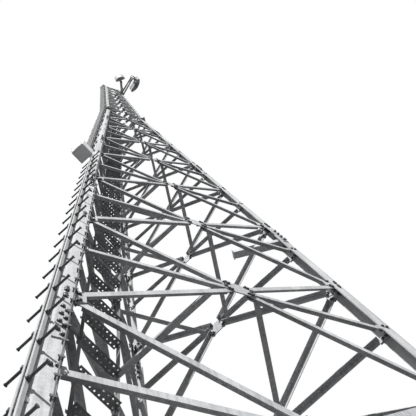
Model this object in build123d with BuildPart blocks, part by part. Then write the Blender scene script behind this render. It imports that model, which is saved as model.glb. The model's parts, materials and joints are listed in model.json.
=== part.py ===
"""Three-legged lattice tower with climbing rungs, feeder cables and panel antennas.

The tower stands on three base plates. Its legs are angles bent to 60 degrees, every side is a
row of crossed bracing panels with a horizontal through each crossing, and a slimmer head with
its own short panels carries the antennas. Lengths are in millimetres, +Z is up, and the origin
is the middle of the underside of leg A's base plate.
"""

from build123d import *

import os
from math import atan2, cos, degrees, hypot, pi, radians, sin, sqrt

# overall shape: width is measured from heel to heel of two legs
BASE_WIDTH = 4320
KINK_WIDTH = 1280
TOP_WIDTH = 720
KINK_HEIGHT = 27300
BASE_PANELS = [3700, 2900]
TOWER_PANELS = 7
TOWER_PANEL = 2900
HEAD_PANELS = 8
HEAD_PANEL = 1420
KINK_MARGIN = 190
TOP_MARGIN = 110

# legs
LEG_ANGLES = {"a": 210, "b": 330, "d": 90}
LEG_BEND_SHARE = 0.28
LEG_THICKNESS = 14
HEAD_LEG_THICKNESS = 9
SPLICE_LENGTH = 640
SPLICE_THICKNESS = 10
SEAT_SIZE = 200
SEAT_THICKNESS = 15
SEAT_INSET = 75
SEAT_CORNER = 20

# base plates and their anchor holes
PLATE_SIZE = 420
PLATE_THICKNESS = 30
ANCHOR_CIRCLE = 440
ANCHOR_HOLE = 36
ANCHOR_COUNT = 4
PLATE_CORNER = 40
FOOT_INSET = 95
RIB_HEIGHT = 180
RIB_LENGTH = 110
RIB_THICKNESS = 12
RIB_TOE = 25
RIB_PLACE = 0.7

# bracing of the sides, as shares of a bar's or a flange's width
SIDES = {"ab": 270, "bd": 30, "da": 150}
GAUGE_SHARE = 0.6
LAP_SHARE = 0.5
LIP_CLEARANCE = 14
JOINT_CUT = 0.75
NODE_CUT = 1.45
NODE_LONG = 2.4
NODE_SHORT = 1.95
GUSSET_HOLD = 1.6
GUSSET_EDGE = 0.9
GUSSET_REACH = 1.0
LAP_REACH = 0.4
LAP_TALL = 1.25
SPLICE_MARGIN = 8
PLAN_BAR = 60
PLAN_WALL = 6
PLAN_RISE = 45
PLAN_ASIDE = 2.6
PLAN_CLEARANCE = 13

# climbing rail on leg A
RAIL_WIDTH = 64
RAIL_DEPTH = 26
RAIL_WALL = 5
RAIL_STANDOFF = 8
RAIL_START = 2500
RAIL_END = 14800
RAIL_BLOCK = 50
RAIL_BLOCK_PITCH = 1270
RUNG_PITCH = 270
RUNG_LENGTH = 150
RUNG_DIAMETER = 14
RUNG_HEAD = 24
RUNG_HEAD_LENGTH = 7
RUNG_MARGIN = 90

# cable ladder inside leg A
LADDER_NEAR = 325
LADDER_WIDTH = 375
LADDER_STRINGER = 45
LADDER_WALL = 5
LADDER_START = 900
LADDER_END = 22600
LADDER_PITCH = 540
LADDER_RUNG_WIDTH = 85
LADDER_STRINGER_WIDTH = 36
LADDER_RUNG_THICKNESS = 5
LADDER_BRACKET_EVERY = 5
LADDER_BRACKET = 10

# feeder cables and the cabinet that they start from
CABINET_WIDTH = 250
CABINET_DEPTH = 250
CABINET_HEIGHT = 500
CABINET_BOTTOM = 14900
CABINET_OUT = 135
HOUSING_CORNER = 12
LUG_NEAR = 0.45
LUG_FAR = 0.9
CABINET_ASIDE = 100
CABINET_LUGS = (100, 260, 440)
FEEDER_COUNT = 4
FEEDER_DIAMETER = 44
FEEDER_PITCH = 52
FEEDER_BEND = 1500
FEEDER_SIDES = 8
FEEDER_PLAY = 0.1
FEEDER_OUT = 60
FEEDER_ASIDE = 44
TOP_BOX_DEPTH = 80
TOP_BOX_WIDTH = 230
TOP_BOX_HEIGHT = 130
TOP_BOX_LUGS = (60,)
HANGER_PITCH = 1450
HANGER_THICKNESS = 6
HANGER_HEIGHT = 50

# antennas: name, leg, height, arm direction, arm length, facing, panel (width, depth, height),
# bracket length, and how far the panel's middle lies to the bracket's left
ANTENNAS = [
    ("front", "b", 37900, 243, 468, 232, (420, 160, 1500), 110, 0),
    ("right", "b", 37350, 282, 798, 14, (650, 170, 1500), 194, 211),
    ("rear", "d", 37200, 90, 420, 90, (420, 160, 1500), 110, 0),
]
ARM_BLOCK = 55
ARM_BLOCK_WIDTH = 90
ARM_SPREAD = 0.3
ARM_SIZE = 60
PIPE_DIAMETER = 60
PIPE_OVERHANG = 120
CLAMP_SIZE = 90
CLAMP_HEIGHT = 50
BRACKET_SPREAD = 0.38
PANEL_STRAIGHT = 0.35
PANEL_EDGE = 25


class Zone:
    """One straight stretch of the tower: its ends, its widths and its bar sizes."""

    def __init__(self, name, joints, shared, flange, bar, lip, bar_wall, gusset, leg_wall):
        self.name = name
        self.joints = joints
        self.shared_below, self.shared_above = shared
        self.flange = flange
        self.bar = bar
        self.lip = lip
        self.bar_wall = bar_wall
        self.gusset = gusset
        self.leg_wall = leg_wall


def running_heights(start, steps):
    """Heights reached by adding each step in turn."""
    heights = [start]
    for step in steps:
        heights.append(heights[-1] + step)
    return heights


ground_panels_top = KINK_HEIGHT - TOWER_PANELS * TOWER_PANEL
base_joints = running_heights(ground_panels_top - sum(BASE_PANELS), BASE_PANELS)
tower_joints = running_heights(ground_panels_top, [TOWER_PANEL] * TOWER_PANELS)
tower_joints[-1] -= KINK_MARGIN
head_joints = running_heights(KINK_HEIGHT + KINK_MARGIN, [HEAD_PANEL] * HEAD_PANELS)
TOP_HEIGHT = head_joints[-1] + TOP_MARGIN
TOP_BOX_BOTTOM = TOP_HEIGHT - TOP_BOX_HEIGHT - TOP_MARGIN
LOWER_PANELS = 2
LENGTH_PITCH = LOWER_PANELS * TOWER_PANEL

ZONES = [
    Zone("base", base_joints, (False, True), 180, 85, 64, 8, 10, LEG_THICKNESS),
    Zone("lower", tower_joints[: LOWER_PANELS + 1], (True, True), 180, 76, 58, 7, 10, LEG_THICKNESS),
    Zone("upper", tower_joints[LOWER_PANELS:], (True, False), 150, 65, 50, 6, 10, LEG_THICKNESS),
    Zone("head", head_joints, (False, False), 110, 52, 44, 5, 6, HEAD_LEG_THICKNESS),
]
LEG_BREAKS = [
    PLATE_THICKNESS,
    ZONES[1].joints[0] - SPLICE_LENGTH,
    ZONES[2].joints[0] - SPLICE_LENGTH,
    KINK_HEIGHT,
    TOP_HEIGHT,
]

SPLICES = [(ZONES[1], LEG_BREAKS[1])] + [(ZONES[2], LEG_BREAKS[2] + step * LENGTH_PITCH) for step in range(3)]

# the tower's axis, seen from the middle of leg A's base plate
axis_distance = BASE_WIDTH / sqrt(3) - FOOT_INSET
AXIS_X = axis_distance * cos(radians(LEG_ANGLES["a"] - 180))
AXIS_Y = axis_distance * sin(radians(LEG_ANGLES["a"] - 180))


def face_width(z):
    """Heel-to-heel width of a side at a height."""
    if z <= KINK_HEIGHT:
        return BASE_WIDTH + (KINK_WIDTH - BASE_WIDTH) * z / KINK_HEIGHT
    share = (z - KINK_HEIGHT) / (TOP_HEIGHT - KINK_HEIGHT)
    return KINK_WIDTH + (TOP_WIDTH - KINK_WIDTH) * share


def width_slope(z):
    """How much a side narrows for each millimetre of height."""
    if z < KINK_HEIGHT:
        return (BASE_WIDTH - KINK_WIDTH) / KINK_HEIGHT
    return (KINK_WIDTH - TOP_WIDTH) / (TOP_HEIGHT - KINK_HEIGHT)


def toward(angle, length, z=0.0):
    """Vector of a length in a plan direction."""
    return Vector(length * cos(radians(angle)), length * sin(radians(angle)), z)


def at_leg(leg, z, outward=0.0, aside=0.0):
    """Point measured from a leg's outer corner: outward from the axis, and aside to its left."""
    angle = LEG_ANGLES[leg]
    corner = Vector(AXIS_X, AXIS_Y, z) + toward(angle, face_width(z) / sqrt(3) + outward)
    return corner + toward(angle - 90, aside)


def leg_direction(leg, z):
    """Unit vector up along a leg."""
    inward = width_slope(z) / sqrt(3)
    return (Vector(0, 0, 1) + toward(LEG_ANGLES[leg] + 180, inward)).normalized()


def leg_plane(leg, z):
    """Level plane at a leg's virtual corner, with x toward the tower's axis."""
    return Plane(origin=at_leg(leg, z), x_dir=toward(LEG_ANGLES[leg] + 180, 1), z_dir=(0, 0, 1))


def raise_along(leg, z, height):
    """Extrude the pending level sketch up a leg's slope until it gains a height."""
    path = leg_direction(leg, z)
    extrude(amount=height / path.Z, dir=path)


def leg_points(flange):
    """Outer outline of a bent angle: toe, bend, heel, bend, toe, from its virtual corner."""
    bend = LEG_BEND_SHARE * flange
    corner_to_bend = bend * sin(radians(45)) / sin(radians(30))
    heel = corner_to_bend * cos(radians(30)) - bend * cos(radians(45))
    toe = (flange * cos(radians(30)), flange * sin(radians(30)))
    knee = (corner_to_bend * cos(radians(30)), corner_to_bend * sin(radians(30)))
    return [toe, knee, (heel, 0), (knee[0], -knee[1]), (toe[0], -toe[1])]


def finish(part, name):
    """Label a piece and write it to its own file."""
    part.label = name
    export_step(part, f"parts/{name}.step")


def make_leg(leg, zone_index):
    """A length of leg between two splices, cut level at both ends."""
    zone = ZONES[zone_index]
    low, high = LEG_BREAKS[zone_index], LEG_BREAKS[zone_index + 1]
    if high == KINK_HEIGHT:
        high -= SEAT_THICKNESS
    with BuildPart() as piece:
        with BuildSketch(leg_plane(leg, low)):
            with BuildLine():
                Polyline(*leg_points(zone.flange))
                offset(amount=zone.leg_wall, kind=Kind.INTERSECTION, side=Side.LEFT)
            make_face()
        raise_along(leg, low, high - low)
    finish(piece.part, f"leg_{leg}_{zone.name}")


def make_base_plate(leg):
    """Square plate with four anchor holes and a rib outside each flange of the leg's foot."""
    foot = at_leg(leg, 0, outward=-FOOT_INSET)
    inward = toward(LEG_ANGLES[leg] + 180, 1)
    level = Plane(origin=foot, x_dir=inward, z_dir=(0, 0, 1))
    with BuildPart() as plate:
        with BuildSketch(level):
            RectangleRounded(PLATE_SIZE, PLATE_SIZE, PLATE_CORNER)
            with PolarLocations(ANCHOR_CIRCLE / 2, ANCHOR_COUNT, start_angle=180 / ANCHOR_COUNT):
                Circle(ANCHOR_HOLE / 2, mode=Mode.SUBTRACT)
        extrude(amount=PLATE_THICKNESS)
        for side in (-1, 1):
            along = toward(LEG_ANGLES[leg] + 180 + side * 30, 1)
            outward = toward(LEG_ANGLES[leg] - side * 60, 1)
            start = at_leg(leg, PLATE_THICKNESS) + along * (ZONES[0].flange * RIB_PLACE)
            rib = Plane(origin=start, x_dir=outward, z_dir=along * side)
            with BuildSketch(rib):
                Polygon((0, 0), (RIB_LENGTH, 0), (RIB_LENGTH, RIB_TOE), (RIB_TOE, RIB_HEIGHT),
                        (-rib_lean() * RIB_HEIGHT, RIB_HEIGHT), align=None)
            extrude(amount=RIB_THICKNESS / 2, both=True)
    finish(plate.part, f"base_plate_{leg}")


def rib_lean():
    """How far a leg's side leans inward for each millimetre of height."""
    return width_slope(0) / (2 * sqrt(3))


def draw_bar(start, end, width, shift=0.0):
    """A bar's flat between two points, moved toward its upper edge by a shift."""
    run, rise = end[0] - start[0], end[1] - start[1]
    length = hypot(run, rise)
    side = shift if run > 0 else -shift
    middle = ((start[0] + end[0]) / 2 - side * rise / length,
              (start[1] + end[1]) / 2 + side * run / length)
    with Locations(middle):
        Rectangle(length, width, rotation=degrees(atan2(rise, run)))


def cut_back(start, end, start_cut, end_cut):
    """Two points moved toward each other along their line."""
    run, rise = end[0] - start[0], end[1] - start[1]
    length = hypot(run, rise)
    along, across = run / length, rise / length
    return ((start[0] + along * start_cut, start[1] + across * start_cut),
            (end[0] - along * end_cut, end[1] - across * end_cut))


def steepness(start, end):
    """Cosine and sine of a bar's slope, both positive."""
    run, rise = abs(end[0] - start[0]), abs(end[1] - start[1])
    length = hypot(run, rise)
    return run / length, rise / length


class TowerSide:
    """The plane of one side of the tower within a zone, with its edges as functions of height."""

    def __init__(self, angle, zone):
        self.zone = zone
        self.start = zone.joints[0] if zone.name == "head" else 0
        lean = width_slope(zone.joints[0]) / (2 * sqrt(3))
        up = (Vector(0, 0, 1) - toward(angle, lean)).normalized()
        across = toward(angle + 90, 1)
        origin = Vector(AXIS_X, AXIS_Y, self.start)
        origin += toward(angle, face_width(self.start) / (2 * sqrt(3)))
        self.rise = up.Z
        self.plane = Plane(origin=origin, x_dir=across, z_dir=across.cross(up))

    def row(self, z):
        """Distance up the side to a height."""
        return (z - self.start) / self.rise

    def edge(self, row, inset=0.0):
        """Half of the side's width at a row, less an inset."""
        return face_width(self.start + row * self.rise) / 2 - inset

    def deep(self, depth):
        """The side's plane moved inward by a depth."""
        return self.plane.offset(-depth)

    def bolt_line(self, sign, row):
        """Point on a leg's bolt line, on the left (-1) or right (1) of the side."""
        return (sign * self.edge(row, GAUGE_SHARE * self.zone.flange), row)

    def crossing(self, low, high):
        """Row where the two diagonals of a panel cross."""
        lower = self.bolt_line(1, low)[0]
        upper = self.bolt_line(1, high)[0]
        return low + (high - low) * lower / (lower + upper)

    def spokes(self, low, high):
        """Six bars of a panel, each from a leg's bolt line to the crossing."""
        middle = self.crossing(low, high)
        return [(self.bolt_line(sign, row), (0, middle)) for sign in (-1, 1) for row in (low, middle, high)]


def draw_corner_gusset(side, sign, row, down, up):
    """Six-sided plate behind a leg at a joint, as tall below and above as its bars need."""
    zone = side.zone
    lap = zone.flange * LAP_SHARE
    reach = zone.flange + GUSSET_REACH * zone.bar
    edge = GUSSET_EDGE * zone.bar
    Polygon(
        (sign * side.edge(row - down, lap), row - down),
        (sign * side.edge(row + up, lap), row + up),
        (sign * side.edge(row + up, zone.flange), row + up),
        (sign * side.edge(row, reach), row + edge),
        (sign * side.edge(row, reach), row - edge),
        (sign * side.edge(row - down, zone.flange), row - down),
        align=None,
    )


def draw_crossing_gusset(side, low, high):
    """Plate that holds the six bar ends at a crossing, longer along the falling diagonal."""
    bar = side.zone.bar
    corners = []
    spokes = side.spokes(low, high)
    for (x, row), (_, middle) in spokes[:3] + spokes[:2:-1]:
        run, rise = x, row - middle
        length = hypot(run, rise)
        run, rise = run / length, rise / length
        reach = NODE_LONG if run * rise < 0 else NODE_SHORT
        for edge in (0.5, -0.5):
            corners.append((bar * (reach * run - edge * rise), middle + bar * (reach * rise + edge * run)))
    Polygon(*corners, align=None)


def make_side(name, angle, zone):
    """Diagonals, horizontals and gussets of one side within a zone."""
    side = TowerSide(angle, zone)
    rows = [side.row(z) for z in zone.joints]
    panels = list(zip(rows, rows[1:]))
    bar = zone.bar
    bars, lips = [], []
    for low, high in panels:
        for joint, node in side.spokes(low, high):
            flat, steep = steepness(joint, node)
            toe = ((1 - GAUGE_SHARE) * zone.flange + LIP_CLEARANCE + bar / 2 * steep) / flat
            gap = JOINT_CUT * bar if steep else 0
            bars.append(cut_back(joint, node, gap, NODE_CUT * bar))
            lips.append(cut_back(joint, node, toe, NODE_CUT * bar))
    flat, steep = steepness(*side.spokes(*panels[0])[0])
    hold = (GUSSET_HOLD * steep + GUSSET_EDGE / 2) * bar
    edge = GUSSET_EDGE * bar
    inner = zone.leg_wall + zone.gusset
    with BuildPart() as lattice:
        with BuildSketch(side.deep(inner)):
            for number, row in enumerate(rows):
                first, last = number == 0, number == len(rows) - 1
                if first and zone.shared_below:
                    continue
                open_top = last and not zone.shared_above
                for sign in (-1, 1):
                    draw_corner_gusset(side, sign, row, edge if first else hold, edge if open_top else hold)
            for low, high in panels:
                draw_crossing_gusset(side, low, high)
                middle = side.crossing(low, high)
                for sign in (-1, 1):
                    start = (sign * side.edge(middle, LAP_SHARE * zone.flange), middle)
                    end = (sign * side.edge(middle, zone.flange + LAP_REACH * bar), middle)
                    draw_bar(start, end, LAP_TALL * bar)
        extrude(amount=zone.gusset)
        with BuildSketch(side.deep(inner)):
            for start, end in bars:
                draw_bar(start, end, bar)
        extrude(amount=-zone.bar_wall)
        with BuildSketch(side.deep(inner)):
            for start, end in lips:
                draw_bar(start, end, zone.bar_wall, (bar - zone.bar_wall) / 2)
        extrude(amount=-zone.lip)
    finish(lattice.part, f"side_{name}_{zone.name}")


def make_splices():
    """Cover plates over the leg joints, one on each flange."""
    with BuildPart() as plates:
        for zone, height in SPLICES:
            keep = zone.flange * 2 * LEG_BEND_SHARE * sin(radians(45)) + SPLICE_MARGIN
            for angle in SIDES.values():
                side = TowerSide(angle, zone)
                middle = side.row(height)
                low, high = middle - SPLICE_LENGTH / 2, middle + SPLICE_LENGTH / 2
                with BuildSketch(side.deep(0)):
                    for sign in (-1, 1):
                        Polygon(
                            (sign * side.edge(low, keep), low),
                            (sign * side.edge(low, zone.flange - SPLICE_MARGIN), low),
                            (sign * side.edge(high, zone.flange - SPLICE_MARGIN), high),
                            (sign * side.edge(high, keep), high),
                            align=None,
                        )
                extrude(amount=SPLICE_THICKNESS)
    finish(plates.part, "splice_plates")


def make_seats():
    """Level plates that the head's slimmer legs stand on."""
    with BuildPart() as seats:
        for leg, angle in LEG_ANGLES.items():
            foot = at_leg(leg, KINK_HEIGHT, outward=-SEAT_INSET)
            with BuildSketch(Plane(origin=foot, x_dir=toward(angle + 180, 1), z_dir=(0, 0, 1))):
                RectangleRounded(SEAT_SIZE, SEAT_SIZE, SEAT_CORNER)
            extrude(amount=-SEAT_THICKNESS)
    finish(seats.part, "head_seats")


def make_plan_bracing(zone):
    """At each crossing, three level bars that join the middles of the three horizontals."""
    sides = [TowerSide(angle, zone) for angle in SIDES.values()]
    rows = [sides[0].row(z) for z in zone.joints]
    inner = zone.leg_wall + zone.gusset
    reach = inner + zone.bar_wall + PLAN_BAR / 4 + PLAN_CLEARANCE
    with BuildPart() as bracing:
        for low, high in zip(rows, rows[1:]):
            row = sides[0].crossing(low, high) + zone.bar / 2
            for first, second in zip(sides, sides[1:] + sides[:1]):
                start = first.deep(reach).from_local_coords(Vector(PLAN_ASIDE * zone.bar, row))
                end = second.deep(reach).from_local_coords(Vector(-PLAN_ASIDE * zone.bar, row))
                seat = first.deep(inner + zone.bar_wall).from_local_coords(Vector(0, row)).Z
                start, end = Vector(start.X, start.Y, seat), Vector(end.X, end.Y, seat)
                section = Plane(origin=start, x_dir=(0, 0, 1), z_dir=end - start)
                with BuildSketch(section):
                    Rectangle(PLAN_WALL, PLAN_BAR, align=(Align.MIN, Align.CENTER))
                    with Locations((0, PLAN_BAR / 2 - PLAN_WALL / 2)):
                        Rectangle(PLAN_RISE, PLAN_WALL, align=(Align.MIN, Align.CENTER))
                extrude(amount=(end - start).length)
    finish(bracing.part, f"plan_bracing_{zone.name}")


def heel_inset(flange):
    """Distance from a leg's virtual corner in to its real heel."""
    return leg_points(flange)[2][0]


def draw_notched_block(heel, back, width):
    """Block behind a leg, with a square notch that seats on the leg's heel."""
    half = width / 2
    Polygon((back, -half), (back, half), (heel + half, half), (heel, 0), (heel + half, -half), align=None)


def make_rail():
    """Channel that runs up leg A's heel on notched blocks, with the rungs on its two sides."""
    low, high = RAIL_START, RAIL_END
    back = heel_inset(ZONES[0].flange) - RAIL_STANDOFF
    blocks = int((high - low - 2 * RAIL_BLOCK) / RAIL_BLOCK_PITCH) + 1
    heights = [low + RAIL_BLOCK + step * RAIL_BLOCK_PITCH for step in range(blocks)]
    with BuildPart() as rail:
        with BuildSketch(leg_plane("a", low)):
            with Locations((back, 0)):
                Rectangle(RAIL_DEPTH, RAIL_WIDTH, align=(Align.MAX, Align.CENTER))
            with Locations((back - RAIL_WALL, 0)):
                Rectangle(RAIL_DEPTH, RAIL_WIDTH - 2 * RAIL_WALL, align=(Align.MAX, Align.CENTER),
                          mode=Mode.SUBTRACT)
        raise_along("a", low, high - low)
        for z in heights:
            with BuildSketch(leg_plane("a", z)):
                draw_notched_block(heel_inset(zone_at(z).flange), back, RAIL_BLOCK)
            raise_along("a", z, RAIL_BLOCK)
    finish(rail.part, "climbing_rail")


def make_rungs():
    """Rungs that stand out from the rail's two sides in turn, each with a head that stops a foot."""
    outward = RAIL_STANDOFF + (RAIL_WALL + RAIL_DEPTH) / 2 - heel_inset(ZONES[0].flange)
    count = int((RAIL_END - RAIL_START - 2 * RUNG_MARGIN) / RUNG_PITCH) + 1
    planes = []
    for step in range(count):
        sign = 1 if step % 2 else -1
        z = RAIL_START + RUNG_MARGIN + step * RUNG_PITCH
        origin = at_leg("a", z, outward=outward, aside=sign * RAIL_WIDTH / 2)
        planes.append(Plane(origin=origin, x_dir=(0, 0, 1), z_dir=toward(LEG_ANGLES["a"] - 90, sign)))
    with BuildPart() as rungs:
        with BuildSketch(*planes):
            RegularPolygon(RUNG_DIAMETER / 2, 6)
        extrude(amount=RUNG_LENGTH)
        with BuildSketch(*[plane.offset(RUNG_LENGTH - RUNG_HEAD_LENGTH) for plane in planes]):
            RegularPolygon(RUNG_HEAD / 2, 6)
        extrude(amount=RUNG_HEAD_LENGTH)
    finish(rungs.part, "climbing_rungs")


def make_ladder():
    """Two stringers and wide cross members inside leg A that the cables can be tied to."""
    count = int((LADDER_END - LADDER_START - LADDER_PITCH) / LADDER_PITCH) + 1
    heights = [LADDER_START + LADDER_PITCH / 2 + step * LADDER_PITCH for step in range(count)]
    clear = LADDER_WIDTH - 2 * LADDER_WALL
    middle = LADDER_NEAR + LADDER_WIDTH / 2
    with BuildPart() as ladder:
        with BuildSketch(leg_plane("a", LADDER_START)):
            for sign in (-1, 1):
                with Locations((middle + sign * (LADDER_WIDTH - LADDER_WALL) / 2, 0)):
                    Rectangle(LADDER_WALL, LADDER_STRINGER_WIDTH)
        raise_along("a", LADDER_START, LADDER_END - LADDER_START)
        with BuildSketch(*[leg_plane("a", z) for z in heights]):
            with Locations((middle, 0)):
                Rectangle(clear, LADDER_RUNG_WIDTH)
        raise_along("a", LADDER_START, LADDER_RUNG_THICKNESS)
        with BuildSketch(*[leg_plane("a", z) for z in heights]):
            with Locations((middle, LADDER_RUNG_WIDTH / 2 - LADDER_RUNG_THICKNESS / 2)):
                Rectangle(clear, LADDER_RUNG_THICKNESS)
        raise_along("a", LADDER_START, LADDER_STRINGER)
        for z in heights[:: LADDER_BRACKET_EVERY]:
            inner = heel_inset(zone_at(z).flange) + LEG_THICKNESS * sqrt(2)
            side = LADDER_BRACKET / 2
            with BuildSketch(leg_plane("a", z)):
                Polygon((inner, 0), (inner + side, side), (LADDER_NEAR, side), (LADDER_NEAR, -side),
                        (inner + side, -side), align=None)
            raise_along("a", z, LADDER_STRINGER)
    finish(ladder.part, "cable_ladder")


def zone_at(z):
    """Zone whose leg angle is used at a height."""
    for zone, top in zip(ZONES, LEG_BREAKS[1:]):
        if z < top:
            return zone
    return ZONES[-1]


def on_flange(distance):
    """Point on a leg's left flange, in the leg's level plane."""
    return (distance * cos(radians(30)), distance * sin(radians(30)))


def make_housing(name, bottom, height, size, place, lug_heights):
    """Closed housing beside leg A's heel, on plates welded between its back and the flange."""
    depth, width = size
    outward, aside = place
    back = depth / 2 - outward
    flange = zone_at(bottom).flange
    near, far = on_flange(flange * LUG_NEAR), on_flange(flange * LUG_FAR)
    with BuildPart() as housing:
        with BuildSketch(leg_plane("a", bottom)):
            with Locations((-outward, aside)):
                RectangleRounded(depth, width, HOUSING_CORNER)
        raise_along("a", bottom, height)
        with BuildSketch(*[leg_plane("a", bottom + offset) for offset in lug_heights]):
            Polygon((back, near[1]), near, far, (back, far[1]), align=None)
        raise_along("a", bottom, HANGER_THICKNESS)
    finish(housing.part, name)


def make_feeders():
    """Row of cables from the cabinet's top, past the kink, to the box at the tower's head."""
    low, high = CABINET_BOTTOM + CABINET_HEIGHT, TOP_BOX_BOTTOM
    margin = FEEDER_DIAMETER
    inward = toward(LEG_ANGLES["a"] + 180, 1)
    with BuildPart() as feeders:
        for number in range(FEEDER_COUNT):
            aside = FEEDER_ASIDE + number * FEEDER_PITCH
            heights = (low - margin, KINK_HEIGHT, high + margin)
            ends = [at_leg("a", z, outward=FEEDER_OUT, aside=aside) for z in heights]
            with BuildLine():
                route = FilletPolyline(*ends, radius=FEEDER_BEND)
            with BuildSketch(Plane(origin=ends[0], x_dir=inward, z_dir=ends[1] - ends[0])):
                RegularPolygon(FEEDER_DIAMETER / 2, FEEDER_SIDES, major_radius=False,
                               rotation=180 / FEEDER_SIDES)
            sweep(path=route)
        split(bisect_by=Plane.XY.offset(low), keep=Keep.TOP)
        split(bisect_by=Plane.XY.offset(high), keep=Keep.BOTTOM)
    finish(feeders.part, "feeder_cables")


def make_hangers():
    """Bent plates on leg A's left flange that carry the row of feeder cables."""
    low = CABINET_BOTTOM + CABINET_HEIGHT
    count = int((TOP_BOX_BOTTOM - low - HANGER_PITCH) / HANGER_PITCH) + 1
    face = FEEDER_DIAMETER / 2 - FEEDER_OUT + FEEDER_PLAY
    wide = FEEDER_ASIDE + (FEEDER_COUNT - 0.5) * FEEDER_PITCH
    with BuildPart() as hangers:
        for step in range(count):
            z = low + HANGER_PITCH * (step + 0.5)
            flange = zone_at(z).flange
            near, far = on_flange(flange * LUG_NEAR), on_flange(flange * LUG_FAR)
            with BuildSketch(leg_plane("a", z)):
                Polygon((face, near[1]), (face, wide), (face + HANGER_THICKNESS, wide),
                        (face + HANGER_THICKNESS, far[1]), far, near, align=None)
            raise_along("a", z, HANGER_HEIGHT)
    finish(hangers.part, "feeder_hangers")


def make_antenna(name, leg, z, arm_angle, arm_length, facing, panel, bracket, shift):
    """A panel antenna on its own upright pipe, held out from a leg by two arms."""
    width, depth, height = panel
    heel = heel_inset(zone_at(z).flange)
    pipe = at_leg(leg, z, outward=ARM_BLOCK) + toward(arm_angle, arm_length)
    front = toward(facing, 1)
    with BuildPart() as arms:
        for level in (z - height * ARM_SPREAD, z + height * ARM_SPREAD):
            with BuildSketch(leg_plane(leg, level - ARM_SIZE / 2)):
                draw_notched_block(heel, -ARM_BLOCK, ARM_BLOCK_WIDTH)
            raise_along(leg, level, ARM_SIZE)
            start = at_leg(leg, level, outward=ARM_BLOCK / 2)
            reach = Vector(pipe.X, pipe.Y, level) - start
            with BuildSketch(Plane(origin=start, x_dir=(0, 0, 1), z_dir=reach)):
                Rectangle(ARM_SIZE, ARM_SIZE)
            extrude(amount=reach.length - CLAMP_SIZE / 2)
            with BuildSketch(Plane(origin=start + reach, x_dir=reach, z_dir=(0, 0, 1))):
                Rectangle(CLAMP_SIZE, CLAMP_SIZE)
                Circle(PIPE_DIAMETER / 2, mode=Mode.SUBTRACT)
            extrude(amount=ARM_SIZE / 2, both=True)
    finish(arms.part, f"arms_{name}")
    with BuildPart() as mast:
        with BuildSketch(Plane(origin=(pipe.X, pipe.Y, z - height / 2 - PIPE_OVERHANG))):
            Circle(PIPE_DIAMETER / 2)
        extrude(amount=height + 2 * PIPE_OVERHANG)
        for level in (z - height * BRACKET_SPREAD, z + height * BRACKET_SPREAD):
            with BuildSketch(Plane(origin=(pipe.X, pipe.Y, level), x_dir=(0, 0, 1), z_dir=front)):
                Rectangle(CLAMP_HEIGHT, CLAMP_SIZE)
            extrude(amount=bracket)
    finish(mast.part, f"pipe_{name}")
    with BuildPart() as housing:
        foot = Vector(pipe.X, pipe.Y, z - height / 2) + front * bracket + toward(facing + 90, shift)
        with BuildSketch(Plane(origin=foot, x_dir=front, z_dir=(0, 0, 1))):
            with BuildLine():
                straight = depth * PANEL_STRAIGHT
                Polyline((straight, -width / 2), (0, -width / 2 + PANEL_EDGE),
                         (0, width / 2 - PANEL_EDGE), (straight, width / 2))
                ThreePointArc((straight, width / 2), (depth, 0), (straight, -width / 2))
            make_face()
        extrude(amount=height)
    finish(housing.part, f"antenna_{name}")


os.makedirs("parts", exist_ok=True)
for leg in LEG_ANGLES:
    make_base_plate(leg)
    for zone_index in range(len(ZONES)):
        make_leg(leg, zone_index)
for zone in ZONES:
    for name, angle in SIDES.items():
        make_side(name, angle, zone)
    if zone.name != "head":
        make_plan_bracing(zone)
make_splices()
make_seats()
make_rail()
make_rungs()
make_ladder()
make_housing("feeder_cabinet", CABINET_BOTTOM, CABINET_HEIGHT, (CABINET_DEPTH, CABINET_WIDTH),
             (CABINET_OUT, CABINET_ASIDE), CABINET_LUGS)
make_housing("feeder_top_box", TOP_BOX_BOTTOM, TOP_BOX_HEIGHT, (TOP_BOX_DEPTH, TOP_BOX_WIDTH),
             (FEEDER_OUT, FEEDER_ASIDE + (FEEDER_COUNT - 1) * FEEDER_PITCH / 2), TOP_BOX_LUGS)
make_feeders()
make_hangers()
for settings in ANTENNAS:
    make_antenna(*settings)
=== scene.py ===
# %% [markdown]
# # A lattice tower, dressed
# The solids of a three-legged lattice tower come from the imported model. This notebook gives them
# their steel, adds the small things that a fabricator and a rigger would fit, and lights the
# whole as it looks to somebody who stands near one foot and looks up.

import json
import math
from collections import namedtuple

import bpy
import numpy as np
from mathutils import Matrix


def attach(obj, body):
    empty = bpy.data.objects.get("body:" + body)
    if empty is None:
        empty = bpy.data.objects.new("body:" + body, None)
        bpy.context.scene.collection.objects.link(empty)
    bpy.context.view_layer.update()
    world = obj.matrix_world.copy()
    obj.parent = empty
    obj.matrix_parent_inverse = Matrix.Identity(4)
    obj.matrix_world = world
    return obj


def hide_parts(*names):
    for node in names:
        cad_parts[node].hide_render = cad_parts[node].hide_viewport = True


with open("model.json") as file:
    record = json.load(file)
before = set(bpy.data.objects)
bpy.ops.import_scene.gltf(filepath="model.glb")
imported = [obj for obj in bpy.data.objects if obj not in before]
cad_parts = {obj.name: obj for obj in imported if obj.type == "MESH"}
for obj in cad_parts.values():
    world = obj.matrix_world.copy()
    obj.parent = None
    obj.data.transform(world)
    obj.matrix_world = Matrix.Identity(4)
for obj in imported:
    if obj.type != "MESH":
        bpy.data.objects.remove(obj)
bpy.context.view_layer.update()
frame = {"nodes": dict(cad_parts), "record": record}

# %% [markdown]
# The tower is set out from a few sizes, so the bolts and fittings can be worked out instead of
# measured one by one. Widths are from corner to corner of a side, and the three corners of any
# level lie on a circle about the tower's axis.

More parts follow.
